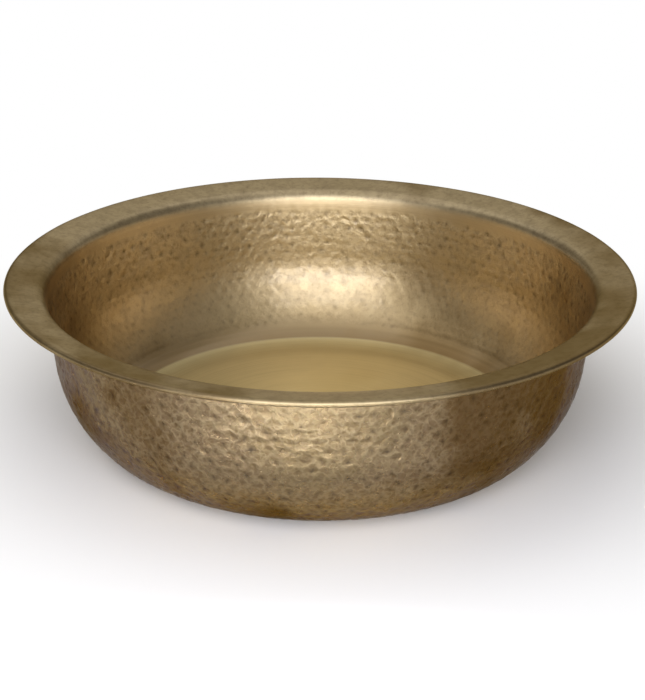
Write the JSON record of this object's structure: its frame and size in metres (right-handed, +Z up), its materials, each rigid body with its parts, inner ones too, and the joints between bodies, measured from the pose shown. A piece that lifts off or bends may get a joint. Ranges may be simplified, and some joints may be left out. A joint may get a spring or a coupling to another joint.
{
  "type": "foot bath basin",
  "caption": "Round brass basin with a flat floor, hammered bowl wall, wide flared flange and an edge rolled over a wire, for bathing feet or carrying water.",
  "frame": {"origin": "middle of the underside of the flat base, on the surface that the basin stands on", "axes": "+Z up along the basin's axis of turning, through the mouth; +X and +Y lie in the surface it stands on"},
  "size_m": [0.4298, 0.4298, 0.118],
  "materials": {
    "beaten_brass": "hammered, oiled and rubbed, aged brown in the hammer marks",
    "drawn_brass_wire": "drawn, dull"
  },
  "bodies": {
    "root": {"basin_shell": "beaten_brass", "rim_wire": "drawn_brass_wire"}
  },
  "joints": []
}
